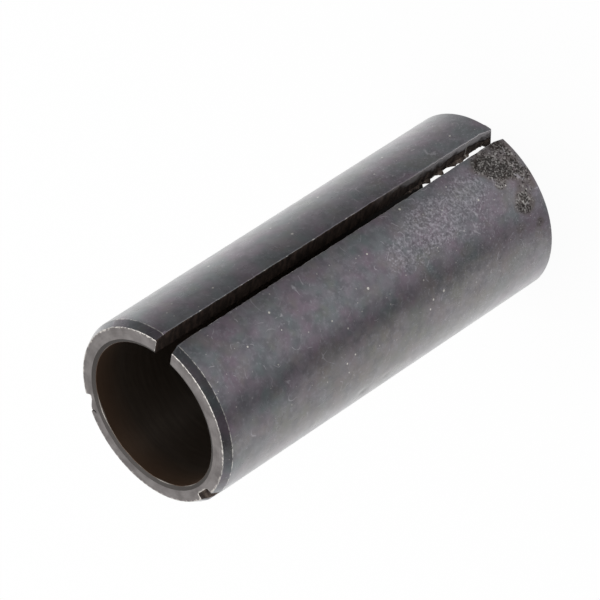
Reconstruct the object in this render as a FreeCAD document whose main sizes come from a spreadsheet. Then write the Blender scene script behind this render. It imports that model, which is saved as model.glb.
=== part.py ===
import FreeCAD, Part
import Sketcher
import math
import os

# A reducing sleeve for a collet: one turned steel tube that is slit from end to end, so that
# the collet can squeeze it onto a shank thinner than the collet's own size. Two narrow flutes,
# a third of a turn away from the slot on either side, leave a thin web in the wall that bends
# like a hinge when the slot closes.
#
# The sleeve stands on its plain end. Its axis is +Z, the foot is at Z = 0, the chamfered end
# that goes into the collet first is at the top, and the slot faces -Y.

# Driving sizes, in millimetres, and degrees for the one angle
SIZES = [
    # The tube: bore and wall make the 12.7 mm outside that fits a half inch collet
    ("bore_diameter", 10.0),
    ("wall_thickness", 1.35),
    ("sleeve_length", 30.2),
    # The edges turned on its two ends
    ("lead_length", 0.56),      # lead chamfer at the top, along the axis
    ("lead_depth", 0.28),       # lead chamfer at the top, into the wall
    ("mouth_chamfer", 0.23),    # chamfer at the top of the bore
    ("foot_break", 0.12),       # broken edges, inside and outside, at the foot
    # The slot, a little narrower at the foot, where the wall sprang in as it was slit
    ("slot_width_top", 1.15),
    ("slot_width_foot", 0.98),
    # The flutes in the outside
    ("flute_width", 1.2),
    ("flute_depth", 0.72),
    ("flute_root_radius", 0.15),
    ("flute_angle", 120.0),     # from the slot, to each side
    # The outer lips of the slot and of the flutes, rubbed round
    ("lip_radius", 0.1),
]

NODE = "split_sleeve"
PAST = 1.0      # how far a cutting outline reaches past the surface that it opens


# The document and its sheet of sizes

document = FreeCAD.newDocument("collet_adapter")
sheet = document.addObject("Spreadsheet::Sheet", "sizes")
for row, (alias, value) in enumerate(SIZES, start=1):
    sheet.set("A%d" % row, alias)
    sheet.set("B%d" % row, str(value))
    sheet.setAlias("B%d" % row, alias)
document.recompute()

body = document.addObject("PartDesign::Body", NODE)
body.Label = NODE
body.Placement = FreeCAD.Placement()


def size(alias):
    """The number that a cell of the sheet holds."""
    return float(sheet.get(alias))


def origin_plane(role):
    """The body's own origin plane with this role, such as XY_Plane."""
    return [plane for plane in body.Origin.OriginFeatures if plane.Role == role][0]


def new_sketch(name, role):
    """An empty sketch that lies on one of the body's origin planes."""
    sketch = body.newObject("Sketcher::SketchObject", name)
    sketch.AttachmentSupport = [(origin_plane(role), "")]
    sketch.MapMode = "FlatFace"
    return sketch


def draw_outline(sketch, corners):
    """Draws a closed outline of straight lines, in which line i starts at corner i."""
    points = [FreeCAD.Vector(across, up, 0) for across, up in corners]
    ends = points[1:] + points[:1]
    sketch.addGeometry([Part.LineSegment(a, b) for a, b in zip(points, ends)], False)
    for line in range(len(points)):
        following = (line + 1) % len(points)
        sketch.addConstraint(Sketcher.Constraint("Coincident", line, 2, following, 1))


def measure(sketch, name, direction, line, end, drawn, formula):
    """Ties a line's end to the sheet by its distance from the sketch's origin."""
    kind = "Distance" + direction
    place = sketch.addConstraint(Sketcher.Constraint(kind, -1, 1, line, end, drawn))
    sketch.renameConstraint(place, name)
    sketch.setExpression("Constraints." + name, formula)


def centre_on_axis(sketch, line):
    """Keeps a line level, with its middle on the sketch's upright axis."""
    sketch.addConstraint(Sketcher.Constraint("Symmetric", line, 1, line, 2, -2))


# The turned wall: one section, swept through a full circle about the axis

BORE = "sizes.bore_diameter / 2"
OUTSIDE = "(sizes.bore_diameter / 2 + sizes.wall_thickness)"
TOP = "sizes.sleeve_length"

bore_radius = size("bore_diameter") / 2
outer_radius = bore_radius + size("wall_thickness")
top = size("sleeve_length")
lead_start = top - size("lead_length")
lead_radius = outer_radius - size("lead_depth")
mouth = size("mouth_chamfer")
foot = size("foot_break")

section = new_sketch("wall_section", "XZ_Plane")
draw_outline(section, [
    (bore_radius + foot, 0),
    (outer_radius - foot, 0),
    (outer_radius, foot),
    (outer_radius, lead_start),
    (lead_radius, top),
    (bore_radius + mouth, top),
    (bore_radius, top - mouth),
    (bore_radius, foot),
])
foot_face, foot_edge, outer_wall, lead, top_face, mouth_edge, bore_wall, bore_edge = range(8)
section.addConstraint(Sketcher.Constraint("PointOnObject", foot_face, 1, -1))
for level_line in (foot_face, top_face):
    section.addConstraint(Sketcher.Constraint("Horizontal", level_line))
for upright_line in (outer_wall, bore_wall):
    section.addConstraint(Sketcher.Constraint("Vertical", upright_line))
measure(section, "outside", "X", outer_wall, 1, outer_radius, OUTSIDE)
measure(section, "bore", "X", bore_wall, 1, bore_radius, BORE)
measure(section, "top", "Y", top_face, 1, top, TOP)
measure(section, "lead_start", "Y", lead, 1, lead_start, TOP + " - sizes.lead_length")
measure(section, "lead_rim", "X", lead, 2, lead_radius, OUTSIDE + " - sizes.lead_depth")
measure(section, "mouth_rim", "X", mouth_edge, 1, bore_radius + mouth,
        BORE + " + sizes.mouth_chamfer")
measure(section, "mouth_end", "Y", mouth_edge, 2, top - mouth, TOP + " - sizes.mouth_chamfer")
measure(section, "foot_rim", "X", foot_edge, 1, outer_radius - foot,
        OUTSIDE + " - sizes.foot_break")
measure(section, "foot_height", "Y", foot_edge, 2, foot, "sizes.foot_break")
measure(section, "bore_foot_height", "Y", bore_edge, 1, foot, "sizes.foot_break")
measure(section, "bore_foot_rim", "X", bore_edge, 2, bore_radius + foot,
        BORE + " + sizes.foot_break")

wall = body.newObject("PartDesign::Revolution", "turned_wall")
wall.Profile = section
wall.ReferenceAxis = (section, ["V_Axis"])
wall.Angle = 360
document.recompute()


# The slot: a wedge seen from the front, cut from the axis out through the -Y wall

half_at_foot = size("slot_width_foot") / 2
half_at_top = size("slot_width_top") / 2

slot_outline = new_sketch("slot_outline", "XZ_Plane")
draw_outline(slot_outline, [
    (-half_at_foot, 0),
    (half_at_foot, 0),
    (half_at_top, top),
    (-half_at_top, top),
])
slot_foot, slot_right, slot_top, slot_left = range(4)
slot_outline.addConstraint(Sketcher.Constraint("PointOnObject", slot_foot, 1, -1))
centre_on_axis(slot_outline, slot_foot)
centre_on_axis(slot_outline, slot_top)
measure(slot_outline, "top", "Y", slot_top, 1, top, TOP)
measure(slot_outline, "half_at_foot", "X", slot_right, 1, half_at_foot,
        "sizes.slot_width_foot / 2")
measure(slot_outline, "half_at_top", "X", slot_top, 1, half_at_top,
        "sizes.slot_width_top / 2")

slot = body.newObject("PartDesign::Pocket", "slot")
slot.Profile = slot_outline
slot.Reversed = True
slot.setExpression("Length", "%s + %s" % (OUTSIDE, PAST))
document.recompute()


# The flutes: one is drawn where the slot is, swung round by its angle, cut along the whole
# wall and mirrored to the slot's other side

half_flute = size("flute_width") / 2
flute_floor = outer_radius - size("flute_depth")

flute_outline = new_sketch("flute_outline", "XY_Plane")
flute_outline.AttachmentOffset = FreeCAD.Placement(
    FreeCAD.Vector(), FreeCAD.Rotation(FreeCAD.Vector(0, 0, 1), size("flute_angle")))
flute_outline.setExpression("AttachmentOffset.Rotation.Angle", "sizes.flute_angle")
draw_outline(flute_outline, [
    (-half_flute, -flute_floor),
    (half_flute, -flute_floor),
    (half_flute, -outer_radius - PAST),
    (-half_flute, -outer_radius - PAST),
])
floor_line, right_side, open_line, left_side = range(4)
flute_outline.addConstraint(Sketcher.Constraint("Vertical", right_side))
centre_on_axis(flute_outline, floor_line)
centre_on_axis(flute_outline, open_line)
measure(flute_outline, "half_width", "X", right_side, 1, half_flute, "sizes.flute_width / 2")
measure(flute_outline, "floor", "Y", right_side, 1, -flute_floor,
        "sizes.flute_depth - " + OUTSIDE)
measure(flute_outline, "open_line", "Y", right_side, 2, -outer_radius - PAST,
        "-%s - %s" % (OUTSIDE, PAST))

flute = body.newObject("PartDesign::Pocket", "flute")
flute.Profile = flute_outline
flute.Reversed = True
flute.Type = "ThroughAll"
document.recompute()

flute_pair = body.newObject("PartDesign::Mirrored", "flute_pair")
flute_pair.Originals = [flute]
flute_pair.MirrorPlane = (origin_plane("YZ_Plane"), [""])
body.Tip = flute_pair
document.recompute()


# The rounding: the saw leaves a radius in the flutes' roots, and use has rubbed the lips

def long_edges(shape, radius):
    """The names of the edges that run up the wall at this distance from the axis."""
    names = []
    for number, edge in enumerate(shape.Edges, start=1):
        start, end = edge.Vertexes[0].Point, edge.Vertexes[-1].Point
        runs_up = abs(end.z - start.z) > top / 2
        if runs_up and abs(math.hypot(start.x, start.y) - radius) < 1e-4:
            names.append("Edge%d" % number)
    return names


roots = body.newObject("PartDesign::Fillet", "flute_roots")
roots.Base = (flute_pair, long_edges(flute_pair.Shape, math.hypot(half_flute, flute_floor)))
roots.setExpression("Radius", "sizes.flute_root_radius")
body.Tip = roots
document.recompute()

lips = body.newObject("PartDesign::Fillet", "rubbed_lips")
lips.Base = (roots, long_edges(roots.Shape, outer_radius))
lips.setExpression("Radius", "sizes.lip_radius")
body.Tip = lips
document.recompute()


# Every feature is sound, every cut took metal away, and the sleeve is written

for item in document.Objects:
    if "Invalid" in item.State or "Error" in item.State:
        raise RuntimeError("%s failed: %s" % (item.Name, item.State))
cuts = [wall, slot, flute, flute_pair]
for before, after in zip(cuts, cuts[1:]):
    if after.Shape.Volume >= before.Shape.Volume:
        raise RuntimeError("%s took nothing away" % after.Name)
if body.Shape.isNull() or not body.Shape.isValid():
    raise RuntimeError("the sleeve's shape isn't valid")

os.makedirs("parts", exist_ok=True)
body.Shape.exportStep("parts/%s.step" % body.Label)
print("volume %.3f mm3 in %d solid" % (body.Shape.Volume, len(body.Shape.Solids)))
print("rounded edges:", len(roots.Base[1]), "roots and", len(lips.Base[1]), "lips")
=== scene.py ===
# %% [markdown]
# # A collet adapter in black oxide steel
# The real part is a thin steel sleeve that lets a collet grip a thinner shank. It was
# turned, bored, slit from end to end and fluted, then blackened, and it has been used.
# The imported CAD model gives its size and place. This lesson builds the surface that the
# eye sees around that model, in the same frame: the foot stands on the floor at Z = 0,
# the axis is +Z and the slot faces -Y.

import math

import bmesh
import bpy
from mathutils import Matrix, Vector, noise


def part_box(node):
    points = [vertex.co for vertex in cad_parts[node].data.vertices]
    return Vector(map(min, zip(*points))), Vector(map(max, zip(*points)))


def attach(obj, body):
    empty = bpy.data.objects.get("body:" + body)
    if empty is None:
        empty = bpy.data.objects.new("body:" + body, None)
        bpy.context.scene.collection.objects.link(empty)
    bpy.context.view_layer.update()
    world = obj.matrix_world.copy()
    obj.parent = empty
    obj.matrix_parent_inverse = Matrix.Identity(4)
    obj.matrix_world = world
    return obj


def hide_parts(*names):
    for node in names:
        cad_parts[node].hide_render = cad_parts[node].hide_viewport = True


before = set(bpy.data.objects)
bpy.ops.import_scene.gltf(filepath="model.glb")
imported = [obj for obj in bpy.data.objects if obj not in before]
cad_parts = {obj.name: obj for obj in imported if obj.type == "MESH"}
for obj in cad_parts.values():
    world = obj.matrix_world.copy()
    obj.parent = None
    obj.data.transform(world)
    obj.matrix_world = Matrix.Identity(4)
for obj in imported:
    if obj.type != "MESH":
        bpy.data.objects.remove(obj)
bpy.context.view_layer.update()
low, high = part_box("split_sleeve")
print("the CAD sleeve stands %.2f mm high" % ((high.z - low.z) * 1000))

# %% [markdown]
# ## The sizes
# Blender works in metres, but a lathe hand thinks in millimetres, so the mesh is made in
# millimetres and scaled once at the end. Angles run from -90 degrees, the middle of the
# slot, round to 270, the slot again. The two flutes lie a third of a turn away from it.

# %% Sizes in millimetres, angles in degrees
BORE = 5.0              # radius of the bore
BURR_ROOT = 5.12        # radius at which the ragged burr starts, just outside the bore
FLUTE_FLOOR = 5.63      # distance from the axis to a flute's flat floor
OUTSIDE = 6.35          # radius of the outer wall
TOP = 30.2
LEAD_LENGTH = 0.56
LEAD_DEPTH = 0.28
MOUTH = 0.265           # mean width of the chamfer inside the mouth
MOUTH_OFF_CENTRE = 0.095        # how much narrower it is on the side that is seen
MOUTH_DEPTH = 0.07
FOOT = 0.05
SLOT_TOP = 1.15
SLOT_FOOT = 1.02
SLOT_DRIFT_TOP = 0.09   # the saw wandered this far sideways, at the top and at the foot
SLOT_DRIFT_FOOT = -0.03
FLUTE = 1.2             # width of a flute
SLOT_AT = -90.0
FLUTES_AT = (31.6, 150.0)       # the left one was milled a little off its mark
VIEWED = -120.5         # the side of the wall that faces the camera
print("wall %.2f mm thick" % (OUTSIDE - BORE))


# %% [markdown]
# ## One radial line, swept round
# A tube with a slot is a letter C, drawn out upwards. The C could be cut from a whole
# ring with a boolean, but that leaves long thin triangles beside each cut. Here a radial
# line is spun in five stretches instead: wall, flute, wall, flute, wall. Every cut then
# starts on a clean column of faces that can be rounded and worn later on.

# %% Sweep the line in stretches
COLUMN = 1.5    # degrees, which is 0.17 mm on the outside: fine enough for a smooth outline


def half_angle(width, radius):
    """Half of the angle that a cut of this width takes up at this radius."""
    return math.degrees(math.asin(width / 2 / radius))


def on_circle(radius, angle, height=0.0):
    """A point in millimetres, from its radius, its angle in degrees and its height."""
    turn = math.radians(angle)
    return Vector((radius * math.cos(turn), radius * math.sin(turn), height))


# Each border is the middle of a cut, the side of it that the border is on, and its width
cuts = [(SLOT_AT, 1, SLOT_TOP)]
for flute_at in FLUTES_AT:
    cuts += [(flute_at, -1, FLUTE), (flute_at, 1, FLUTE)]
cuts += [(SLOT_AT + 360, -1, SLOT_TOP)]
borders = [middle + side * half_angle(width, OUTSIDE) for middle, side, width in cuts]

sleeve = bmesh.new()
line = [sleeve.verts.new(on_circle(radius, borders[0]))
        for radius in (BORE, BURR_ROOT, FLUTE_FLOOR, OUTSIDE)]
swept = line + [sleeve.edges.new(pair) for pair in zip(line, line[1:])]
for start, end in zip(borders, borders[1:]):
    steps = max(6, round((end - start) / COLUMN))
    swept = bmesh.ops.spin(sleeve, geom=swept, cent=(0, 0, 0), axis=(0, 0, 1),
                           angle=math.radians(end - start), steps=steps)["geom_last"]
print("flat ring of %d faces" % len(sleeve.faces))


# %% [markdown]
# ## Open the flutes and raise the wall
# The flutes don't go through the wall, so only the outer strip of faces over them is
# taken away. The flat shape is then extruded upwards, one ring of faces after another.
# The rings are needed because the wall will be scuffed, dented and rubbed at certain
# heights, and a mesh only bends where it has vertices.

# %% Flutes and wall
RING = 0.25     # height of one ring of faces


def radius_of(point):
    """Distance from the sleeve's axis."""
    return math.hypot(point.x, point.y)


def angle_of(point):
    """Angle about the axis, from -90 to 270 degrees, so that it never jumps on the metal."""
    angle = math.degrees(math.atan2(point.y, point.x))
    return angle + 360 if angle < SLOT_AT else angle


def over_flute(face):
    """Whether a face of the flat ring lies where a flute will be open."""
    middle = face.calc_center_median()
    inside = any(abs(angle_of(middle) - at) < half_angle(FLUTE, OUTSIDE) for at in FLUTES_AT)
    return inside and radius_of(middle) > FLUTE_FLOOR


opened = [face for face in sleeve.faces if over_flute(face)]
bmesh.ops.delete(sleeve, geom=opened, context="FACES")

PLAIN = (0.45, 29.3)    # between these heights the wall has no turned edge
cap = sleeve.faces[:]
height = 0.0
for level in (FOOT, *PLAIN, TOP - LEAD_LENGTH, TOP - MOUTH_DEPTH, TOP):
    raised = bmesh.ops.extrude_face_region(sleeve, geom=cap)["geom"]
    if height > 0:
        bmesh.ops.delete(sleeve, geom=cap, context="FACES")
    cap = [item for item in raised if isinstance(item, bmesh.types.BMFace)]
    lifted = [item for item in raised if isinstance(item, bmesh.types.BMVert)]
    bmesh.ops.translate(sleeve, verts=lifted, vec=(0, 0, level - height))
    height = level

tall = [edge for edge in sleeve.edges if edge.calc_length() > (PLAIN[1] - PLAIN[0]) * 0.9]
rings = round((PLAIN[1] - PLAIN[0]) / RING)
bmesh.ops.subdivide_edges(sleeve, edges=tall, cuts=rings - 1, use_grid_fill=True)
bmesh.ops.recalc_face_normals(sleeve, faces=sleeve.faces)
print("wall of %d faces in %d rings" % (len(sleeve.faces), rings))


# %% [markdown]
# ## Turned edges and straight cuts
# A lathe tool left a lead chamfer at the top, a small chamfer inside the mouth and a broken
# edge at the foot. In the photograph the mouth's chamfer is shallow, and wider on one side,
# because the bore was deburred by hand, so its width is eccentric. A saw leaves flat sides,
# but the swept borders point at the axis. Turning each vertex a little about the axis
# makes both sides of a cut parallel, and lets the slot close towards the foot.

# %% Cones at the ends, then parallel cuts
SPACING = 0.05      # the columns behind the bore stay this far outside its chamfers


def mouth_width(angle):
    """The chamfer inside the mouth is narrowest on the side that faces the camera."""
    return MOUTH - MOUTH_OFF_CENTRE * math.cos(math.radians(angle - VIEWED))


def wall_limits(angle, height):
    """The smallest and the largest radius of the metal at this place."""
    down_lead = (height - (TOP - LEAD_LENGTH)) / LEAD_LENGTH * LEAD_DEPTH
    up_mouth = 1 - (TOP - height) / MOUTH_DEPTH
    inner = BORE + max(0, FOOT - height, mouth_width(angle) * up_mouth)
    outer = min(OUTSIDE, OUTSIDE - FOOT + height, OUTSIDE - down_lead)
    return inner, outer


def cut_width(width, height):
    """The slot's width shrinks towards the foot; a flute's doesn't."""
    if width == SLOT_TOP:
        return SLOT_FOOT + (SLOT_TOP - SLOT_FOOT) * height / TOP
    return width


def drift(width, radius, height):
    """How far the slot's middle is off its line here, in degrees; a flute runs true."""
    if width != SLOT_TOP:
        return 0.0
    rise = height / TOP
    sideways = SLOT_DRIFT_TOP * rise ** 3 + SLOT_DRIFT_FOOT * (1 - rise)
    return math.degrees(sideways / radius)


def squared(angle, radius, height):
    """The angle that brings a place on the swept ring beside straight, parallel cuts."""
    for index in range(len(borders) - 1):
        if angle <= borders[index + 1] + 0.01:
            break
    share = (angle - borders[index]) / (borders[index + 1] - borders[index])
    straight = [middle + side * half_angle(cut_width(width, height), radius)
                + drift(width, radius, height) for middle, side, width in cuts[index:index + 2]]
    return straight[0] + share * (straight[1] - straight[0]), index


for vert in sleeve.verts:
    angle, radius, height = angle_of(vert.co), radius_of(vert.co), vert.co.z
    inner, outer = wall_limits(angle, height)
    if radius > BORE + 0.01:
        inner += SPACING
    radius = min(max(radius, inner), outer)
    angle, stretch = squared(angle, radius, height)
    # The stretches 1 and 3 are the flutes, whose floors are flat, not round
    if stretch in (1, 3) and abs(radius - FLUTE_FLOOR) < 0.01:
        radius = FLUTE_FLOOR / math.cos(math.radians(angle - FLUTES_AT[stretch // 2]))
    vert.co = on_circle(radius, angle, height)
print("lead chamfer to radius %.2f, mouth %.2f to %.2f wide"
      % (OUTSIDE - LEAD_DEPTH, mouth_width(VIEWED), mouth_width(VIEWED + 180)))


# %% [markdown]
# ## Rounded lips, roots and rims
# No edge on used steel is perfectly sharp, and the narrow bright line on a rubbed edge is
# what tells the eye that it is metal. The long lips of the cuts get a round of 0.1 mm,
# the roots of the flutes keep the saw's radius, and every rim gets a very small break.
# Edges are picked by where they are and by how sharply the surface turns there.

# %% Bevel in three passes
LIP = 0.1
ROOT = 0.15
RIM = 0.035


def turning_edges(least, upright, inside=0.0, outside=OUTSIDE + 1):
    """Edges where the surface turns by this many degrees, by direction and radius."""
    chosen = []
    for edge in sleeve.edges:
        a, b = edge.verts[0].co, edge.verts[1].co
        rises = abs(a.z - b.z) > 0.6 * (a - b).length
        near = inside < radius_of((a + b) / 2) < outside
        if rises == upright and near and edge.calc_face_angle(0) > math.radians(least):
            chosen.append(edge)
    return chosen


def rounded(edges, width, segments):
    """Bevels the edges to a round of this width."""
    bmesh.ops.bevel(sleeve, geom=edges, offset=width, affect="EDGES", segments=segments,
                    profile=0.5, material=-1, clamp_overlap=True)


lips = turning_edges(40, upright=True, inside=OUTSIDE - LEAD_DEPTH - 0.05)
rounded(lips, LIP, 4)
roots = turning_edges(40, upright=True, inside=FLUTE_FLOOR - 0.1, outside=FLUTE_FLOOR + 0.1)
rounded(roots, ROOT, 3)
rims = turning_edges(25, upright=False)
rounded(rims, RIM, 2)
print("rounded %d lip, %d root and %d rim edges" % (len(lips), len(roots), len(rims)))

# %% [markdown]
# ## The burr that the saw left
# Low in the slot, daylight shows between ragged teeth: where the saw broke through into the
# bore it pushed a thin curl of metal ahead of it. The curl is extruded from the narrow
# strip of faces beside the bore, on the +X side of the slot, and each of its vertices is
# then pulled out as far as the teeth reach at that height.

# %% Pull the teeth out of the slot's edge
# Height up the sleeve, and how far the burr stands out there, in millimetres
BURR = ((0.05, 0.0), (0.45, 0.0), (0.55, 0.12), (0.65, 0.01), (0.95, 0.0), (1.05, 0.06),
        (1.15, 0.01), (1.7, 0.03), (1.85, 0.19), (2.35, 0.2), (2.6, 0.31), (2.76, 0.3),
        (2.88, 0.17), (3.2, 0.25), (3.4, 0.15), (3.75, 0.0), (4.2, 0.02), (4.33, 0.3),
        (4.42, 0.36), (4.52, 0.31), (4.66, 0.14), (4.9, 0.03), (5.4, 0.06), (5.6, 0.3),
        (5.7, 0.29), (6.0, 0.12), (6.35, 0.02), (6.6, 0.2), (7.0, 0.06), (7.4, 0.16),
        (7.8, 0.0))
RAGGED = 0.035      # how far the teeth's own edges waver


def between(pairs, place):
    """Reads a list of (place, value) pairs, straight between its points."""
    for (start, low_value), (end, high_value) in zip(pairs, pairs[1:]):
        if start <= place <= end:
            return low_value + (high_value - low_value) * (place - start) / (end - start)
    return 0.0


def by_slot(point):
    """Whether a place on the sleeve is in the slot or on its lips."""
    return abs(point.x) < 0.9 and point.y < 0


def burr_faces():
    """The strip of faces beside the bore, on the slot's +X side, where the burr stands."""
    chosen = []
    for face in sleeve.faces:
        middle = face.calc_center_median()
        beside_bore = BORE < radius_of(middle) < BURR_ROOT
        low_enough = BURR[0][0] < middle.z < BURR[-1][0]
        if beside_bore and low_enough and face.normal.x < -0.9 and by_slot(middle):
            chosen.append(face)
    return chosen


upright = {edge for face in burr_faces() for edge in face.edges
           if abs(edge.verts[0].co.z - edge.verts[1].co.z) > RING / 2}
bmesh.ops.subdivide_edges(sleeve, edges=list(upright), cuts=3, use_grid_fill=True)
root = burr_faces()
grown = bmesh.ops.extrude_face_region(sleeve, geom=root)["geom"]
bmesh.ops.delete(sleeve, geom=root, context="FACES")
for tip in grown:
    if isinstance(tip, bmesh.types.BMVert):
        waver = RAGGED * noise.noise(Vector((0, 0, tip.co.z * 7)))
        length = max(0.01, between(BURR, tip.co.z) + waver)
        outward = radius_of(tip.co) - BORE
        tip.co.x -= length
        tip.co.y += 0.6 * outward
        tip.co.z += 0.03 * noise.noise(Vector((5, 0, tip.co.z * 9)))
print("burr of %d faces, up to %.2f mm long" % (len(root), max(reach for _, reach in BURR)))

# %% [markdown]
# ## Marks of sawing and handling
# At the foot the saw left the cut askew: the +X side leans over the slot and the other
# side flares away. At the top a file has opened the slot, and swarf is folded into the end
# of one flute. The slot's lips waver a little all the way up, and the outside has a few
# small dents. All of it is done by moving vertices, so it shows in the outline as well as
# in the light.

# %% The sizes of the marks, in millimetres
LEANING_BELOW = 1.0     # the +X side leans over the slot below this height, on the outside
CLOSED_BELOW = 0.45     # and below this one beside the bore, where it leans more steeply
LEAN = 0.18             # how far it leans on the outside
LEAN_INWARDS = 0.24     # and how much further beside the bore
SHARP_BELOW = 0.9       # the leaning lip is sharp, not rounded, below this height
FLARED_BELOW = 0.9      # the other side flares away below this one
FLARE = 0.15
DEBURRED = 1.0          # a file opened the slot's mouth over this length from the top
FILED = 0.17            # and took this much off the -X lip
SLOW_WAVER, QUICK_WAVER = 0.035, 0.03       # how far the slot's lips wander
FOLDED = 0.28           # swarf folded into the left flute's end lifts its floor this far
FOLD_LENGTH = 0.6
WAVE = 0.004            # the ground wall waves by this much
UNDERSIZE = 0.006       # and is this much under size, so that no wave stands proud of it
# Angle, height, radius of the mark and its depth, in degrees and millimetres
DENTS = ((169.5, 17.5, 0.5, 0.05), (170.0, 15.3, 0.4, 0.045), (-147.8, 18.4, 0.3, 0.03),
         (-96.4, 24.7, 0.2, 0.03), (-40.0, 21.0, 0.5, 0.03), (60.0, 12.0, 0.6, 0.04),
         (95.0, 22.0, 0.4, 0.04), (5.0, 7.0, 0.5, 0.03), (110.0, 4.0, 0.45, 0.04))


# %% How a mark fades out
def eased(value):
    """0 up to 1 without a corner at either end."""
    value = min(max(value, 0.0), 1.0)
    return value * value * (3 - 2 * value)


def turned_from(at, angle):
    """How far an angle is turned from another one, from -180 to 180 degrees."""
    return (angle - at + 180) % 360 - 180


def dent_depth(angle, height):
    """How deep the dents are at a place on the outside."""
    deepest = 0.0
    for at, up, size, depth in DENTS:
        apart = math.hypot(math.radians(turned_from(at, angle)) * OUTSIDE, height - up)
        deepest = max(deepest, depth * eased(1 - apart / size))
    return deepest


def push_out(co, distance, radius):
    """Moves a vertex away from the axis, or towards it where the distance is negative."""
    co.x *= 1 + distance / radius
    co.y *= 1 + distance / radius


# %% Move the slot's sides, fold the flute's end and dent the wall
def move_slot_side(co, radius):
    """Moves a vertex of the slot or its lips, and gives back its radius."""
    near_lip = eased(1 - (abs(co.x) - 0.5) / 0.35)
    through = (OUTSIDE - radius) / (OUTSIDE - BORE)
    if co.x > 0.1:
        start = LEANING_BELOW + (CLOSED_BELOW - LEANING_BELOW) * through
        soft = 0.8 - 0.62 * through
        co.x -= (LEAN + LEAN_INWARDS * through) * near_lip * eased((start - co.z) / soft)
        if radius > OUTSIDE - LIP - 0.03:
            lift = eased((SHARP_BELOW - co.z) / 0.5) * (OUTSIDE - 0.003 - radius)
            push_out(co, lift, radius)
            radius += lift
    if co.x < -0.1:
        co.x -= FLARE * near_lip * max(0.0, 1 - co.z / FLARED_BELOW)
        if co.z > TOP - DEBURRED:
            co.x -= FILED * near_lip * ((co.z - TOP) / DEBURRED + 1) ** 2
    if radius > OUTSIDE - 0.5:
        co.x += SLOW_WAVER * near_lip * noise.noise(Vector((co.x * 3, 2, co.z * 2.3)))
        co.x += QUICK_WAVER * near_lip * noise.noise(Vector((co.x * 3, 8, co.z * 7.1)))
    return radius


for vert in sleeve.verts:
    co = vert.co
    radius, angle = radius_of(co), angle_of(co)
    if by_slot(co):
        radius = move_slot_side(co, radius)
    past_middle = eased((angle - FLUTES_AT[0] + 4) / 8)
    if past_middle > 0 and angle < FLUTES_AT[0] + 5 and abs(radius - FLUTE_FLOOR) < 0.1:
        push_out(co, FOLDED * past_middle * eased((co.z - TOP) / FOLD_LENGTH + 1), radius)
    if radius > OUTSIDE - 0.05:
        shrink = UNDERSIZE + dent_depth(angle, co.z) + WAVE * noise.noise(co * 0.45)
        push_out(co, -shrink, radius)
print("%d dents" % len(DENTS))

# %% [markdown]
# ## The finished mesh
# The bmesh becomes one object at the origin, in metres. Faces are shaded smooth, and an
# edge stays crisp only where the surface turns sharply. Each face is given to one of four
# finishes by where it lies: the ground outside, the faced ends, the bore, or a sawn cut.

# %% Make the object
CRISP = 9       # degrees
OUTER, FACED, BORED, SAWN = range(4)


def from_flute(angle):
    """How far this angle is from the middle of the nearer flute, in degrees."""
    return min(abs(angle - at) for at in FLUTES_AT)


def finish_of(face):
    """The finish that a face of the sleeve has."""
    middle = face.calc_center_median()
    radius, angle = radius_of(middle), angle_of(middle)
    outward = face.normal.dot(on_circle(1, angle))
    if outward < -0.15:
        return BORED
    if abs(face.normal.z) > 0.9:
        return FACED
    in_slot = by_slot(middle) and abs(outward) < 0.8
    in_flute = from_flute(angle) < 6.2 and (radius < FLUTE_FLOOR + 0.1 or abs(outward) < 0.6)
    return SAWN if in_slot or in_flute else OUTER


for face in sleeve.faces:
    face.smooth = True
    face.material_index = finish_of(face)
for edge in sleeve.edges:
    edge.smooth = edge.calc_face_angle(0) < math.radians(CRISP)
open_edges = [edge for edge in sleeve.edges if len(edge.link_faces) != 2]
mesh = bpy.data.meshes.new("turned_sleeve")
sleeve.to_mesh(mesh)
sleeve.free()
piece = bpy.data.objects.new("turned_sleeve", mesh)
bpy.context.scene.collection.objects.link(piece)
areas = [0, 0, 0, 0]
for polygon in mesh.polygons:
    areas[polygon.material_index] += polygon.area
mesh.calc_loop_triangles()
print("%d triangles, %d open edges" % (len(mesh.loop_triangles), len(open_edges)))
print("outside %.0f, ends %.0f, bore %.0f, cuts %.0f mm2" % tuple(areas))

# %% [markdown]
# ## Where the wear is
# A finish needs to know where it is worn. Five numbers are stored on every vertex: how
# rubbed it is there, how pitted by rust, how scuffed, how stained, and how warm its tint
# is, a tint that is partly a painted reflection of warm light. The patches are ellipses on
# the unrolled wall, each with its angle, height, half width, half height and strength. A
# shader then breaks them up with noise, so that no patch has a clean edge.

# %% Store the wear on the mesh
RUB = 0.1       # how far a rubbed edge reaches, in millimetres
GRIMY_BELOW = 8.0       # where the slot's right lip is dirty instead of rubbed
# Angle in degrees, height, half width and half height in millimetres, strength up to 1
PITTED = ((-99.5, 2.6, 0.7, 1.1, 0.9), (-104.5, 2.6, 0.75, 1.3, 0.98),
          (-110.0, 2.2, 0.85, 1.1, 1.0), (-115.0, 1.2, 0.85, 1.1, 0.95),
          (-108.0, 0.8, 1.0, 0.9, 0.9), (-100.5, 0.9, 0.8, 1.0, 0.9),
          (-96.5, 1.6, 0.45, 1.3, 0.85), (-118.5, 2.6, 0.5, 0.6, 0.9),
          (-120.6, 0.5, 0.6, 0.6, 0.95), (-135.0, 1.65, 0.95, 0.95, 0.93),
          (-126.0, 0.9, 0.9, 0.9, 0.82), (-151.0, 0.9, 0.4, 0.4, 0.85),
          (-147.0, 2.6, 0.4, 0.5, 0.8), (150.0, 3.0, 1.2, 1.5, 0.75), (60.0, 26.0, 1.0, 1.4, 0.75))
BARED = ((-134.5, 1.65, 0.2, 0.25, 1.0), (-131.0, 1.85, 0.12, 0.15, 0.95),
         (-107.0, 3.9, 0.12, 0.3, 0.7), (-67.0, 5.1, 0.12, 0.3, 0.95),
         (-128.0, 8.9, 0.12, 0.15, 0.9), (-113.0, 6.6, 0.1, 0.2, 0.85))
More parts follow.
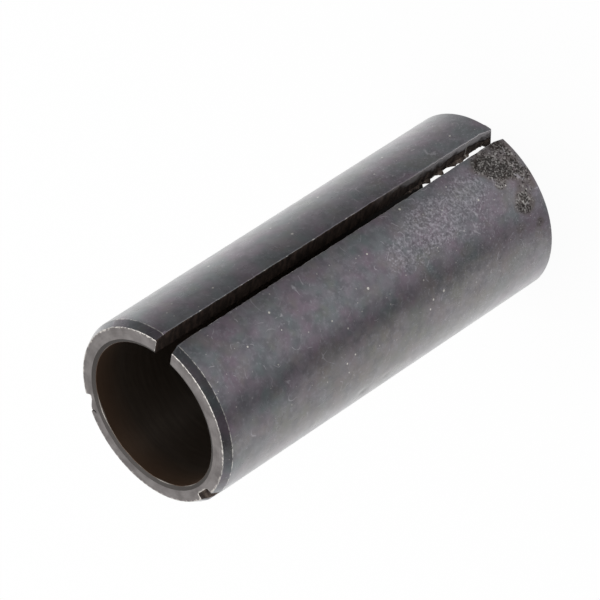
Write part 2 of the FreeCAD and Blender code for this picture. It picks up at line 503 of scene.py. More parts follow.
SCUFFED = ((-112.0, 3.0, 30.0, 12.0, 0.66), (-112.0, 5.2, 1.6, 2.0, 0.8),
           (-116.0, 8.5, 2.0, 3.2, 0.82), (-122.0, 11.5, 1.6, 2.6, 0.75),
           (-128.0, 6.0, 1.6, 3.0, 0.7), (-106.0, 10.5, 1.0, 2.0, 0.5),
           (-126.0, 17.5, 1.5, 2.5, 0.5), (-103.0, 27.0, 1.5, 2.0, 0.5),
           (-138.0, 23.0, 2.0, 3.0, 0.35), (-40.0, 14.0, 2.0, 4.0, 0.6),
           (20.0, 18.0, 2.5, 4.0, 0.6), (80.0, 9.0, 2.5, 5.0, 0.55), (110.0, 22.0, 2.5, 3.5, 0.6),
           (175.0, 8.0, 2.0, 4.0, 0.6))
STAINED = ((-103.0, 2.8, 0.6, 0.7, 0.85), (-98.5, 0.8, 0.5, 0.6, 0.9),
           (-114.0, 1.6, 0.6, 0.6, 0.8), (20.0, 29.8, 2.0, 0.6, 0.8))
# A warmer, brownish tint in broad patches, partly a painted reflection of warm light along one
# side
WARM_TINT_AND_REFLECTION = ((-172.0, 14.0, 3.2, 16.0, 0.75), (-158.0, 7.5, 1.2, 3.0, 0.85),
         (-150.0, 4.0, 1.0, 2.0, 0.6), (120.0, 10.0, 3.0, 9.0, 0.6))


def patch(patches, angle, height):
    """How strongly the patches cover a place on the wall."""
    cover = 0.0
    for at, up, wide, tall, strength in patches:
        across = math.radians(turned_from(at, angle)) * OUTSIDE / wide
        along = (height - up) / tall
        cover = max(cover, strength * eased(1.6 - math.hypot(across, along)))
    return cover


def edge_distance(co):
    """How far a vertex is from the nearest edge that hands and collets rub."""
    angle, radius, height = angle_of(co), radius_of(co), co.z
    rings = [(OUTSIDE - LEAD_DEPTH, TOP), (OUTSIDE, 0.0), (BORE, TOP - MOUTH_DEPTH)]
    if from_flute(angle) < half_angle(FLUTE, FLUTE_FLOOR):
        rings.append((FLUTE_FLOOR, TOP))
    nearest = min(math.hypot(radius - ring, height - level) for ring, level in rings)
    inside = min(OUTSIDE - radius, TOP - height)
    for middle, side, width in cuts:
        if width == FLUTE and radius < FLUTE_FLOOR:
            continue
        if width != FLUTE and side > 0 and height < GRIMY_BELOW:
            continue
        turned = turned_from(middle, angle) - drift(width, radius, height)
        aside = math.radians(turned) * radius - side * cut_width(width, height) / 2
        nearest = min(nearest, math.hypot(aside, inside))
    return nearest


wear = {"rubbed": [], "pitted": [], "scuffed": [], "stained": [], "warm_tint_and_reflection": []}
for vert in mesh.vertices:
    angle, height = angle_of(vert.co), vert.co.z
    wear["rubbed"].append(max(math.exp(-(edge_distance(vert.co) / RUB) ** 2),
                              patch(BARED, angle, height)))
    wear["pitted"].append(patch(PITTED, angle, height))
    wear["scuffed"].append(patch(SCUFFED, angle, height))
    wear["stained"].append(patch(STAINED, angle, height))
    wear["warm_tint_and_reflection"].append(patch(WARM_TINT_AND_REFLECTION, angle, height))

# %% Attach it to the mesh, and the mesh to the frame
for name, values in wear.items():
    mesh.attributes.new(name, "FLOAT", "POINT").data.foreach_set("value", values)
    print("%s: mean %.3f over %d vertices" % (name, sum(values) / len(values), len(values)))

# Millimetres become metres
mesh.transform(Matrix.Scale(0.001, 4))
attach(piece, "root")
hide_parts("split_sleeve")


# %% [markdown]
# ## Colours and nodes
# A colour is written as it looks on a screen, in sRGB hex, and one function turns it into
# the linear values that Blender's shaders work with. A second small function adds any
# node with its settings and links, so that a material reads as a list.

# %% Two helpers for every material
def linear(code):
    """Linear red, green, blue and alpha from an sRGB hex colour."""
    values = [int(code[i:i + 2], 16) / 255 for i in (1, 3, 5)]
    return [v / 12.92 if v <= 0.04045 else ((v + 0.055) / 1.055) ** 2.4 for v in values] + [1.0]


def add(tree, kind, inputs=None, **settings):
    """Adds a node, sets what it needs and links or fills its sockets."""
    node = tree.nodes.new(kind)
    for name, value in settings.items():
        setattr(node, name, value)
    for socket, value in (inputs or {}).items():
        if isinstance(value, bpy.types.NodeSocket):
            tree.links.new(value, node.inputs[socket])
        else:
            node.inputs[socket].default_value = value
    return node


def new_material(name):
    """An empty material and its node tree."""
    material = bpy.data.materials.new(name)
    material.use_nodes = True
    material.node_tree.nodes.clear()
    return material, material.node_tree


def millimetres(tree):
    """Object coordinates, counted in millimetres, so that a pattern's scale is a real size."""
    place = add(tree, "ShaderNodeTexCoord")
    return add(tree, "ShaderNodeVectorMath", {0: place.outputs["Object"], "Scale": 1000.0},
               operation="SCALE").outputs[0]


# %% [markdown]
# ## Black oxide on ground steel
# The outside was ground and then blackened in a hot salt bath, which turns the skin of the
# steel itself into a layer of oxide a thousandth of a millimetre thick, and it was
# oiled. To the eye it is a dark metal with a soft gloss, a breath of violet and green
# where the layer varies, and a thin coat of oil that turns bright at a glancing angle.
#
# Its marks are built up in layers, as paint would be. Each layer is a noise pattern with
# grains of a real size, spread over the whole wall or held to one kind of wear. The noise
# and the wear are added up, and the layer covers the steel where the sum is high.

# %% The outside: a rubbed edge, and clouds in the oxide
steel, tree = new_material("black_oxide_on_ground_steel")
mm = millimetres(tree)
worn = {name: add(tree, "ShaderNodeAttribute", attribute_name=name).outputs["Fac"]
        for name in wear}
# The lead chamfer's outer edge is rubbed in a line that is thinner than the mesh can hold
parts = add(tree, "ShaderNodeSeparateXYZ", {0: mm})
off_edge = add(tree, "ShaderNodeMath", {0: parts.outputs[2], 1: TOP - LEAD_LENGTH},
               operation="SUBTRACT")
beside = add(tree, "ShaderNodeMath", {0: off_edge.outputs[0]}, operation="ABSOLUTE")
edge_rub = add(tree, "ShaderNodeMapRange", {"Value": beside.outputs[0], "From Min": 0.02,
                                            "From Max": 0.12, "To Min": 0.95, "To Max": 0.0})
worn["rubbed"] = add(tree, "ShaderNodeMath", {0: worn["rubbed"], 1: edge_rub.outputs[0]},
                     operation="MAXIMUM").outputs[0]
# Clouds of slightly different oxide, some 3 mm across: violet, blue-green and olive
clouds = add(tree, "ShaderNodeTexNoise", {"Vector": mm, "Scale": 0.5, "Detail": 2.0})
cloudy = add(tree, "ShaderNodeMapRange", {"Value": clouds.outputs["Fac"], "From Min": 0.4,
                                          "From Max": 0.6})
violet = add(tree, "ShaderNodeMix", {0: cloudy.outputs[0], 6: linear("#6A5D69"),
                                     7: linear("#5A6164")}, data_type="RGBA")
films = add(tree, "ShaderNodeTexNoise", {"Vector": mm, "W": 6.0, "Scale": 0.7, "Detail": 2.0},
            noise_dimensions="4D")
filmy = add(tree, "ShaderNodeMapRange", {"Value": films.outputs["Fac"], "From Min": 0.5,
                                         "From Max": 0.64, "To Max": 0.45})
shade = add(tree, "ShaderNodeMix", {0: filmy.outputs[0], 6: violet.outputs[2],
                                    7: linear("#66645C")}, data_type="RGBA").outputs[2]

# %% The outside: layers of wear
# Wear, grain in mm, sum where it starts, sum where it is whole, most cover, colour
LAYERS = (
    ("warm_tint_and_reflection", 2.5, 0.9, 1.3, 0.7, "#69655E"),           # a brownish warm tint, partly a painted reflection of warm light
    ("all", 1.3, 0.42, 0.62, 0.4, "#76737A"),           # thin dust in broad patches
    ("all", 0.6, 0.46, 0.64, 0.5, "#4C4A51"),           # darker mottling
    ("all", 0.2, 0.52, 0.75, 0.45, "#85838B"),          # fine pale grain
    ("scuffed", 0.5, 1.2, 1.6, 0.4, "#85828A"),         # scuffs, rubbed pale
    ("scuffed", 0.13, 1.24, 1.44, 0.6, "#A3A0A8"),      # the scratches in them
    ("scuffed", 0.22, 1.26, 1.4, 0.5, "#413E44"),       # and dirt
    ("pitted", 0.9, 1.0, 1.45, 0.8, "#544A46"),         # the brown shadow of rust
    ("stained", 0.6, 1.0, 1.4, 0.8, "#2B2420"),         # old brown oil
    ("pitted", 0.4, 1.32, 1.52, 0.75, "#362F2B"),       # dark blots in the rust
    ("pitted", 0.16, 1.38, 1.55, 0.6, "#A9A6A3"),       # crumbs of it
    ("pitted", 0.12, 1.38, 1.5, 0.8, "#24201E"),        # pits
    ("rubbed", 0.2, 1.32, 1.5, 0.85, "#D0CDC8"),        # bare edges
)
relief = 0.0
for index, (name, grain, low_sum, high_sum, most, code) in enumerate(LAYERS):
    spots = add(tree, "ShaderNodeTexNoise", {"Vector": mm, "W": 3.7 * index, "Scale": 1 / grain,
                                             "Detail": 2.0, "Roughness": 0.5},
                noise_dimensions="4D").outputs["Fac"]
    if name in worn:
        spots = add(tree, "ShaderNodeMath", {0: spots, 1: worn[name]}).outputs[0]
    cover = add(tree, "ShaderNodeMapRange", {"Value": spots, "From Min": low_sum,
                                             "From Max": high_sum, "To Max": most}).outputs[0]
    shade = add(tree, "ShaderNodeMix", {0: cover, 6: shade, 7: linear(code)},
                data_type="RGBA").outputs[2]
    if name == "pitted":
        relief = add(tree, "ShaderNodeMath", {0: cover, 1: -0.4,
                                              2: relief}, operation="MULTIPLY_ADD").outputs[0]
        pits = cover
    if name == "stained":
        stains = cover

# %% The outside: specks and hair marks
# Where grit chipped the oxide off: cell in mm, largest speck as a share of it, cover
for cell, size, cover in ((0.95, 0.1, 0.9), (0.5, 0.11, 0.5)):
    grit = add(tree, "ShaderNodeTexVoronoi", {"Vector": mm, "Scale": 1 / cell})
    chance = add(tree, "ShaderNodeSeparateColor", {"Color": grit.outputs["Color"]})
    reach = add(tree, "ShaderNodeMath", {0: chance.outputs[0], 1: size}, operation="MULTIPLY")
    speck = add(tree, "ShaderNodeMath", {0: grit.outputs["Distance"], 1: reach.outputs[0]},
                operation="LESS_THAN")
    held = add(tree, "ShaderNodeMath", {0: speck.outputs[0], 1: cover}, operation="MULTIPLY")
    shade = add(tree, "ShaderNodeMix", {0: held.outputs[0], 6: shade, 7: linear("#C4C1BA")},
                data_type="RGBA").outputs[2]
# Fine curved lines, as from a dirty cloth: where a smooth noise crosses its middle value
swirl = add(tree, "ShaderNodeTexNoise", {"Vector": mm, "Scale": 0.7, "Detail": 0.6})
away = add(tree, "ShaderNodeMath", {0: swirl.outputs["Fac"], 1: 0.5}, operation="SUBTRACT")
near = add(tree, "ShaderNodeMath", {0: away.outputs[0]}, operation="ABSOLUTE")
hair = add(tree, "ShaderNodeMapRange", {"Value": near.outputs[0], "From Max": 0.01,
                                        "To Min": 1.0, "To Max": 0.0})
gaps = add(tree, "ShaderNodeTexNoise", {"Vector": mm, "W": 9.0, "Scale": 1.9},
           noise_dimensions="4D")
short = add(tree, "ShaderNodeMapRange", {"Value": gaps.outputs["Fac"], "From Min": 0.53,
                                         "From Max": 0.6, "To Max": 0.6})
hairs = add(tree, "ShaderNodeMath", {0: hair.outputs[0], 1: short.outputs[0]},
            operation="MULTIPLY")
shade = add(tree, "ShaderNodeMix", {0: hairs.outputs[0], 6: shade, 7: linear("#A9A6AC")},
            data_type="RGBA").outputs[2]

# %% The outside: gloss, oil and relief
# Rust is rougher than the oxide, and neither rust nor old stains hold a glossy film of oil
grain = add(tree, "ShaderNodeTexNoise", {"Vector": mm, "Scale": 1.2, "Detail": 1.0})
gloss = add(tree, "ShaderNodeMapRange", {"Value": grain.outputs["Fac"], "From Min": 0.3,
                                         "From Max": 0.7, "To Min": 0.26, "To Max": 0.36})
rougher = add(tree, "ShaderNodeMath", {0: pits, 1: 0.3, 2: gloss.outputs[0]},
              operation="MULTIPLY_ADD")
matt = add(tree, "ShaderNodeMath", {0: pits, 1: stains}, operation="MAXIMUM")
oil = add(tree, "ShaderNodeMath", {0: 1.0, 1: matt.outputs[0]}, operation="SUBTRACT")
surface = add(tree, "ShaderNodeMath", {0: grain.outputs["Fac"], 1: 0.3, 2: relief},
              operation="MULTIPLY_ADD")
bump = add(tree, "ShaderNodeBump", {"Height": surface.outputs[0], "Strength": 0.25,
                                    "Distance": 0.00002})
shader = add(tree, "ShaderNodeBsdfPrincipled",
             {"Base Color": shade, "Metallic": 1.0, "Roughness": rougher.outputs[0],
              "Normal": bump.outputs[0], "Coat Weight": oil.outputs[0], "Coat Roughness": 0.3,
              "Coat IOR": 1.5})
add(tree, "ShaderNodeOutputMaterial", {"Surface": shader.outputs["BSDF"]})
mesh.materials.append(steel)

# %% [markdown]
# ## The faced ends
# The lathe faced the ends last, so the tool's fine rings still show through a thinner
# oxide, and standing the sleeve on its ends has worn them paler and a little warmer.

# %% The ends
faced, tree = new_material("faced_steel_end")
mm = millimetres(tree)
parts = add(tree, "ShaderNodeSeparateXYZ", {0: mm})
flat = add(tree, "ShaderNodeCombineXYZ", {0: parts.outputs[0], 1: parts.outputs[1]})
out = add(tree, "ShaderNodeVectorMath", {0: flat.outputs[0]}, operation="LENGTH")
rings_at = add(tree, "ShaderNodeCombineXYZ", {0: out.outputs["Value"]})
# Rings 0.1 mm apart; a real facing cut is finer, but would not show at this size
lathe = add(tree, "ShaderNodeTexNoise", {"Vector": rings_at.outputs[0], "Scale": 10.0,
                                         "Detail": 2.0})
patches = add(tree, "ShaderNodeTexNoise", {"Vector": mm, "Scale": 1.0, "Detail": 3.0})
both = add(tree, "ShaderNodeMath", {0: lathe.outputs["Fac"], 1: 0.12,
                                    2: patches.outputs["Fac"]}, operation="MULTIPLY_ADD")
pale = add(tree, "ShaderNodeMapRange", {"Value": both.outputs[0], "From Min": 0.42,
                                        "From Max": 0.7})
colour = add(tree, "ShaderNodeMix", {0: pale.outputs[0], 6: linear("#565251"),
                                     7: linear("#6A6665")}, data_type="RGBA")
rubbed = add(tree, "ShaderNodeAttribute", attribute_name="rubbed")
# The rubbed rim is a row of bright nicks, a fifth of a millimetre long
nicks = add(tree, "ShaderNodeTexNoise", {"Vector": mm, "Scale": 4.0, "Detail": 2.0})
rub_sum = add(tree, "ShaderNodeMath", {0: rubbed.outputs["Fac"], 1: nicks.outputs["Fac"]})
rub = add(tree, "ShaderNodeMapRange", {"Value": rub_sum.outputs[0], "From Min": 1.3,
                                       "From Max": 1.55, "To Max": 0.6})
edged = add(tree, "ShaderNodeMix", {0: rub.outputs[0], 6: colour.outputs[2],
                                    7: linear("#CFCAC4")}, data_type="RGBA")
bump = add(tree, "ShaderNodeBump", {"Height": lathe.outputs["Fac"], "Strength": 0.3,
                                    "Distance": 0.00002})
shader = add(tree, "ShaderNodeBsdfPrincipled",
             {"Base Color": edged.outputs[2], "Metallic": 1.0, "Roughness": 0.4,
              "Normal": bump.outputs[0]})
add(tree, "ShaderNodeOutputMaterial", {"Surface": shader.outputs["BSDF"]})
mesh.materials.append(faced)

# %% [markdown]
# ## The bore
# The bore keeps the whole thickness of the oxide, with oil and dust from shanks in it, so
# it is nearly black, a little warm and more matt than the outside. Towards the mouth it is
# painted paler and browner, as painted light falling into it; dirt has gathered towards
# the foot, and the mouth's inner edge is rubbed.

# %% The bore
bored, tree = new_material("oily_black_bore")
mm = millimetres(tree)
streaks_at = add(tree, "ShaderNodeVectorMath", {0: mm, 1: (0.5, 0.5, 4.0)},
                 operation="MULTIPLY")
streaks = add(tree, "ShaderNodeTexNoise", {"Vector": streaks_at.outputs[0], "Scale": 1.0,
                                           "Detail": 3.0})
colour = add(tree, "ShaderNodeMix", {0: streaks.outputs["Fac"], 6: linear("#3F352D"),
                                     7: linear("#5B5249")}, data_type="RGBA").outputs[2]
parts = add(tree, "ShaderNodeSeparateXYZ", {0: mm})
# Painted light: paler and browner towards the mouth, where light falls into the bore
painted_light_near_mouth = add(tree, "ShaderNodeMapRange", {"Value": parts.outputs[2], "From Min": TOP - 2.2,
                                              "From Max": TOP, "To Max": 0.9})
near_foot = add(tree, "ShaderNodeMapRange", {"Value": parts.outputs[2], "From Min": 10.0,
                                             "From Max": 7.0, "To Max": 0.85})
mouth = add(tree, "ShaderNodeMath", {0: parts.outputs[2], 1: TOP - MOUTH_DEPTH},
            operation="GREATER_THAN")
rubbed = add(tree, "ShaderNodeAttribute", attribute_name="rubbed")
breaks = add(tree, "ShaderNodeTexNoise", {"Vector": mm, "Scale": 0.45, "Detail": 4.0})
rub_sum = add(tree, "ShaderNodeMath", {0: rubbed.outputs["Fac"], 1: breaks.outputs["Fac"]})
rub = add(tree, "ShaderNodeMapRange", {"Value": rub_sum.outputs[0], "From Min": 1.42,
                                       "From Max": 1.6, "To Max": 0.6})
# Painted light near the mouth, dirt, the mouth's chamfer, which catches more light but is darker,
# and bare steel
for cover, code in ((painted_light_near_mouth, "#6B5341"), (near_foot, "#16110E"), (mouth, "#221C18"),
                    (rub, "#B5B0AA")):
    colour = add(tree, "ShaderNodeMix", {0: cover.outputs[0], 6: colour, 7: linear(code)},
                 data_type="RGBA").outputs[2]
bump = add(tree, "ShaderNodeBump", {"Height": streaks.outputs["Fac"], "Strength": 0.3,
                                    "Distance": 0.00002})
shader = add(tree, "ShaderNodeBsdfPrincipled",
             {"Base Color": colour, "Metallic": 0.5, "Roughness": 0.45,
              "Normal": bump.outputs[0]})
add(tree, "ShaderNodeOutputMaterial", {"Surface": shader.outputs["BSDF"]})
mesh.materials.append(bored)

# %% [markdown]
# ## The sawn cuts
# The saw's teeth left short strokes on the walls of the slot and in the flutes, and brown
# rust has started where chips of oxide came away. The flutes and the low end of the slot
# are dusty. Low in the slot the outside's oxide also reaches over the lip, with a ragged
# edge of brown dirt; the oxide is painted near white, a painted reflection that stands in
# for its gloss. Something hard has scratched a bright line across the wall. To the eye a
# cut is a dull, brownish band between two glossy walls.

# %% The sawn walls: strokes, rust and dust
sawn, tree = new_material("sawn_and_blackened_steel")
mm = millimetres(tree)
strokes_at = add(tree, "ShaderNodeVectorMath", {0: mm, 1: (1.0, 0.7, 2.2)},
                 operation="MULTIPLY")
strokes = add(tree, "ShaderNodeTexNoise", {"Vector": strokes_at.outputs[0], "Scale": 1.5,
                                           "Detail": 4.0, "Roughness": 0.65})
rusty = add(tree, "ShaderNodeMapRange", {"Value": strokes.outputs["Fac"], "From Min": 0.42,
                                         "From Max": 0.66})
deep = add(tree, "ShaderNodeMix", {0: rusty.outputs[0], 6: linear("#2F2824"),
                                   7: linear("#554740")}, data_type="RGBA")
dusty = add(tree, "ShaderNodeMix", {0: rusty.outputs[0], 6: linear("#5A504C"),
                                    7: linear("#988A80")}, data_type="RGBA")
# Dust has settled low in the slot, and in the flutes, which face +Y
parts = add(tree, "ShaderNodeSeparateXYZ", {0: mm})
low_down = add(tree, "ShaderNodeMapRange", {"Value": parts.outputs[2], "From Min": 11.0,
                                            "From Max": 2.0})
fluted = add(tree, "ShaderNodeMapRange", {"Value": parts.outputs[1], "From Min": -1.0,
                                          "From Max": 1.0})
dust = add(tree, "ShaderNodeMath", {0: low_down.outputs[0], 1: fluted.outputs[0]},
           operation="MAXIMUM")
colour = add(tree, "ShaderNodeMix", {0: dust.outputs[0], 6: deep.outputs[2],
                                     7: dusty.outputs[2]}, data_type="RGBA").outputs[2]

# %% The sawn walls: oxide over the lip with a painted reflection, and a scratch
SCRATCH_AT = 2.06       # height, in millimetres
flat = add(tree, "ShaderNodeCombineXYZ", {0: parts.outputs[0], 1: parts.outputs[1]})
out = add(tree, "ShaderNodeVectorMath", {0: flat.outputs[0]}, operation="LENGTH")
ragged = add(tree, "ShaderNodeTexNoise", {"Vector": mm, "Scale": 0.8, "Detail": 4.0,
                                          "Roughness": 0.6})
reach = add(tree, "ShaderNodeMath", {0: ragged.outputs["Fac"], 1: 2.2,
                                     2: out.outputs["Value"]}, operation="MULTIPLY_ADD")
dirt = add(tree, "ShaderNodeMapRange", {"Value": reach.outputs[0], "From Min": 6.6,
                                        "From Max": 6.75})
# Painted reflection: the oxide over the lip is painted near white, to stand in for its gloss
# reflecting the white studio
oxide_with_painted_sheen = add(tree, "ShaderNodeMapRange", {"Value": reach.outputs[0], "From Min": 6.75,
                                         "From Max": 7.2})
in_slot = add(tree, "ShaderNodeMath", {0: parts.outputs[1], 1: 0.0}, operation="LESS_THAN")
low_in_slot = add(tree, "ShaderNodeMath", {0: low_down.outputs[0], 1: in_slot.outputs[0]},
                  operation="MULTIPLY")
scratch = add(tree, "ShaderNodeMath", {0: parts.outputs[2], 1: SCRATCH_AT, 2: 0.05},
              operation="COMPARE")
for cover, where, code in ((dirt, low_in_slot, "#302824"), (oxide_with_painted_sheen, low_in_slot, "#CFCCCF"),
                           (scratch, in_slot, "#D2CFC9")):
    held = add(tree, "ShaderNodeMath", {0: cover.outputs[0], 1: where.outputs[0]},
               operation="MULTIPLY")
    colour = add(tree, "ShaderNodeMix", {0: held.outputs[0], 6: colour, 7: linear(code)},
                 data_type="RGBA").outputs[2]
bump = add(tree, "ShaderNodeBump", {"Height": strokes.outputs["Fac"], "Strength": 0.6,
                                    "Distance": 0.00003})
shader = add(tree, "ShaderNodeBsdfPrincipled",
             {"Base Color": colour, "Metallic": 0.35, "Roughness": 0.7,
              "Specular IOR Level": 0.25, "Normal": bump.outputs[0]})
add(tree, "ShaderNodeOutputMaterial", {"Surface": shader.outputs["BSDF"]})
mesh.materials.append(sawn)

# %% [markdown]
# ## The floor
# The part was photographed on white. The floor is a pale plane that a camera or a
# reflection sees as white, with a little real shading mixed in so that the sleeve's
# shadow still lies on it. It lies a hair below the foot, so that the two never flicker.

# %% The floor
BELOW_FOOT = 0.00002        # metres
floor_mesh = bpy.data.meshes.new("floor")
plane = bmesh.new()
bmesh.ops.create_grid(plane, x_segments=1, y_segments=1, size=2.0)
bmesh.ops.translate(plane, verts=plane.verts, vec=(0, 0, -BELOW_FOOT))
plane.to_mesh(floor_mesh)
plane.free()
floor = bpy.data.objects.new("floor", floor_mesh)
bpy.context.scene.collection.objects.link(floor)

# %% [markdown]
# A photographer lays dark cards, called flags, beside a shiny tube: their reflections are
# the soft dark bands that make it look round. Here the paper itself carries them, as
# soft-edged sectors around the sleeve that only a reflection sees. Each has a direction,
# counted from the side that faces the camera, a half width, a soft edge and a depth.

# %% Where a place on the paper is, as the sleeve reflects it
FLAGS = ((70.0, 36.0, 60.0, 0.68), (-48.0, 14.0, 32.0, 0.7))

paper, tree = new_material("matt_white_paper")
place = add(tree, "ShaderNodeTexCoord")
parts = add(tree, "ShaderNodeSeparateXYZ", {0: place.outputs["Object"]})
turn = add(tree, "ShaderNodeMath", {0: parts.outputs[1], 1: parts.outputs[0]},
           operation="ARCTAN2")
# The mirror is a cylinder, not a line, so a flag bends aside near its foot to look straight
around = add(tree, "ShaderNodeMath", {0: turn.outputs[0], 1: math.radians(VIEWED)},
             operation="SUBTRACT")
half_turn = add(tree, "ShaderNodeMath", {0: around.outputs[0], 1: math.pi, 2: -math.pi},
                operation="WRAP")
half_of_it = add(tree, "ShaderNodeMath", {0: half_turn.outputs[0], 1: 0.5}, operation="MULTIPLY")
sideways = add(tree, "ShaderNodeMath", {0: half_of_it.outputs[0]}, operation="SINE")
from_axis = add(tree, "ShaderNodeVectorMath", {0: place.outputs["Object"]}, operation="LENGTH")
nearness = add(tree, "ShaderNodeMath", {0: OUTSIDE / 1000, 1: from_axis.outputs["Value"]},
               operation="DIVIDE")
seen_at = add(tree, "ShaderNodeMath", {0: sideways.outputs[0], 1: nearness.outputs[0],
                                       2: half_turn.outputs[0]}, operation="MULTIPLY_ADD")

# %% How white the paper looks in a reflection
# The lit sheet ends a few hands away, and beyond it the room is darker
white_level = add(tree, "ShaderNodeMapRange", {"Value": from_axis.outputs["Value"],
                                               "From Min": 0.12, "From Max": 0.5, "To Min": 1.0,
                                               "To Max": 0.35}).outputs[0]
# A flag's shade thins out close to the sleeve, where the softbox lights the paper again
deepen = add(tree, "ShaderNodeMapRange", {"Value": from_axis.outputs["Value"], "From Min": 0.007,
                                          "From Max": 0.022, "To Min": 0.6, "To Max": 1.0})
# Hardly any light reaches the paper under the sleeve, at the bottom of its bore
under = add(tree, "ShaderNodeMapRange", {"Value": from_axis.outputs["Value"],
                                         "From Min": BORE / 1000, "From Max": OUTSIDE / 1000,
                                         "To Min": 0.2, "To Max": 1.0})
white_level = add(tree, "ShaderNodeMath", {0: white_level, 1: under.outputs[0]},
                  operation="MULTIPLY").outputs[0]
for toward, half, soft, depth in FLAGS:
    aside = add(tree, "ShaderNodeMath", {0: seen_at.outputs[0], 1: math.radians(toward)},
                operation="SUBTRACT")
    apart = add(tree, "ShaderNodeMath", {0: aside.outputs[0]}, operation="ABSOLUTE")
    shade = add(tree, "ShaderNodeMapRange",
                {"Value": apart.outputs[0], "From Min": math.radians(half - soft / 2),
                 "From Max": math.radians(half + soft / 2), "To Min": depth, "To Max": 0.0},
                interpolation_type="SMOOTHSTEP")
    dark = add(tree, "ShaderNodeMath", {0: shade.outputs[0], 1: deepen.outputs[0]},
               operation="MULTIPLY")
    level = add(tree, "ShaderNodeMath", {0: 1.0, 1: dark.outputs[0]}, operation="SUBTRACT")
    white_level = add(tree, "ShaderNodeMath", {0: white_level, 1: level.outputs[0]},
                      operation="MULTIPLY").outputs[0]

# %% What a ray meets on the paper
# A camera sees white, a reflection sees the level above, and scattered light a matt paper
path = add(tree, "ShaderNodeLightPath")
seen = add(tree, "ShaderNodeMath", {0: path.outputs["Is Camera Ray"],
                                    1: path.outputs["Is Glossy Ray"]}, operation="MAXIMUM")
strength = add(tree, "ShaderNodeMath", {0: path.outputs["Is Camera Ray"], 1: white_level},
               operation="MAXIMUM")
matt = add(tree, "ShaderNodeBsdfDiffuse", {"Color": linear("#F2F2F2")})
white = add(tree, "ShaderNodeEmission", {"Color": linear("#FFFFFF"),
                                         "Strength": strength.outputs[0]})
share = add(tree, "ShaderNodeMath", {0: seen.outputs[0], 1: 0.95}, operation="MULTIPLY")
both = add(tree, "ShaderNodeMixShader", {0: share.outputs[0], 1: matt.outputs[0],
                                         2: white.outputs[0]})
# From below the paper is clear, so that the foot can be looked at
side = add(tree, "ShaderNodeNewGeometry")
clear = add(tree, "ShaderNodeBsdfTransparent")
one_sided = add(tree, "ShaderNodeMixShader", {0: side.outputs["Backfacing"],
                                              1: both.outputs[0], 2: clear.outputs[0]})
add(tree, "ShaderNodeOutputMaterial", {"Surface": one_sided.outputs[0]})
floor_mesh.materials.append(paper)

# %% [markdown]
# ## Light
# One large soft lamp hangs high behind the sleeve, and the rest of the light is the white
# studio around it. Reflections see that studio at full strength, because they are what
# makes the oxide look glossy, and scattered light gets half of it, so that the shadow on
# the paper stays visible. Low down on the camera's side the studio is darker, as where a
# photographer stands, and only reflections show it.

# %% The lamp
CENTRE = Vector((0, 0, 0.015))      # about the middle of the sleeve, in metres


def softbox(name, azimuth, elevation, distance, width, height, level):
    """A soft lamp that faces the sleeve; level is how bright it alone makes a white card."""
    lamp = bpy.data.lights.new(name, "AREA")
    lamp.shape = "RECTANGLE"
    lamp.size = width
    lamp.size_y = height
    lamp.energy = level * math.pi ** 2 * distance ** 2
    holder = bpy.data.objects.new(name, lamp)
    turn, lift = math.radians(azimuth), math.radians(elevation)
    away = Vector((math.cos(turn) * math.cos(lift), math.sin(turn) * math.cos(lift),
                   math.sin(lift)))
    holder.location = CENTRE + away * distance
    holder.rotation_euler = away.to_track_quat("Z", "Y").to_euler()
    bpy.context.scene.collection.objects.link(holder)


softbox("top_softbox", azimuth=40, elevation=70, distance=0.5, width=0.4, height=0.4, level=0.7)

# %% The studio around it
FRONT = VIEWED + 8      # the middle of its dark part, in degrees

world = bpy.data.worlds.new("studio")
bpy.context.scene.world = world
world.use_nodes = True
tree = world.node_tree
tree.nodes.clear()
path = add(tree, "ShaderNodeLightPath")
ray = add(tree, "ShaderNodeTexCoord")
facing = add(tree, "ShaderNodeVectorMath", {0: ray.outputs["Generated"],
                                            1: on_circle(1.0, FRONT)},
             operation="DOT_PRODUCT")
parts = add(tree, "ShaderNodeSeparateXYZ", {0: ray.outputs["Generated"]})
low_down = add(tree, "ShaderNodeMapRange", {"Value": parts.outputs[2], "From Min": 0.3,
                                            "From Max": 0.75, "To Min": 0.8, "To Max": 0.0},
               interpolation_type="SMOOTHSTEP")
in_front = add(tree, "ShaderNodeMapRange", {"Value": facing.outputs["Value"], "From Min": -0.7,
                                            "From Max": 0.2}, interpolation_type="SMOOTHSTEP")
unlit = add(tree, "ShaderNodeMath", {0: low_down.outputs[0], 1: in_front.outputs[0]},
            operation="MULTIPLY")
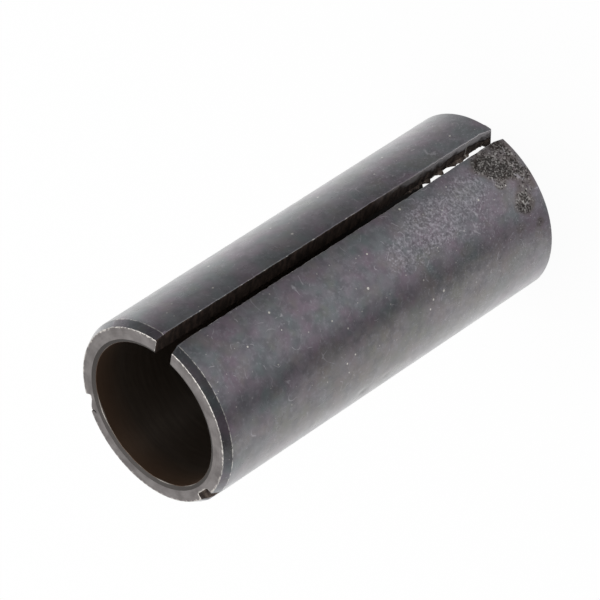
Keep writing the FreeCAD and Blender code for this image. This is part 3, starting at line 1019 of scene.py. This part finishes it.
lit = add(tree, "ShaderNodeMath", {0: 1.0, 1: unlit.outputs[0]}, operation="SUBTRACT")
plain = add(tree, "ShaderNodeMapRange", {"Value": path.outputs["Is Glossy Ray"], "To Min": 0.5,
                                         "To Max": lit.outputs[0]})
level = add(tree, "ShaderNodeMath", {0: plain.outputs[0], 1: path.outputs["Is Camera Ray"]},
            operation="MAXIMUM")
sky = add(tree, "ShaderNodeBackground", {"Color": linear("#FFFFFF"),
                                         "Strength": level.outputs[0]})
add(tree, "ShaderNodeOutputWorld", {"Surface": sky.outputs[0]})

# %% [markdown]
# ## Camera
# The camera stands eleven sleeve lengths away with a long lens, and is turned on its side,
# so that the standing sleeve seems to lie. Its angles, focal length and distance were
# fitted to the outline of the sleeve in the photograph. The view transform is Standard,
# which keeps white paper white.

# %% The camera
AZIMUTH, ELEVATION, ROLL = -30.5, 35.04, -123.04
PIXELS = 600
FOCAL_PIXELS = 5289.14
# The middle of the sleeve's top, seen from the camera: across, down and away, in metres
NEAR_END = Vector((-1.4341, 1.1157, 51.393)) * OUTSIDE / 1000

camera_data = bpy.data.cameras.new("camera")
camera_data.sensor_width = 36
camera_data.lens = FOCAL_PIXELS / PIXELS * 36
camera_data.clip_start = 0.01
camera_data.clip_end = 10
camera = bpy.data.objects.new("camera", camera_data)
bpy.context.scene.collection.objects.link(camera)
bpy.context.scene.camera = camera

az, el, roll = (math.radians(value) for value in (AZIMUTH, ELEVATION, ROLL))
back = Vector((math.sin(az) * math.cos(el), -math.cos(az) * math.cos(el), math.sin(el)))
level_right = Vector((math.cos(az), math.sin(az), 0))
level_up = back.cross(level_right)
right = level_right * math.cos(roll) + level_up * math.sin(roll)
up = back.cross(right)
place = Vector((0, 0, TOP / 1000)) + back * NEAR_END.z + up * NEAR_END.y - right * NEAR_END.x
camera.matrix_world = Matrix.Translation(place) @ Matrix((right, up, back)).transposed().to_4x4()
print("camera at", [round(value, 4) for value in place])

bpy.context.scene.view_settings.view_transform = "Standard"
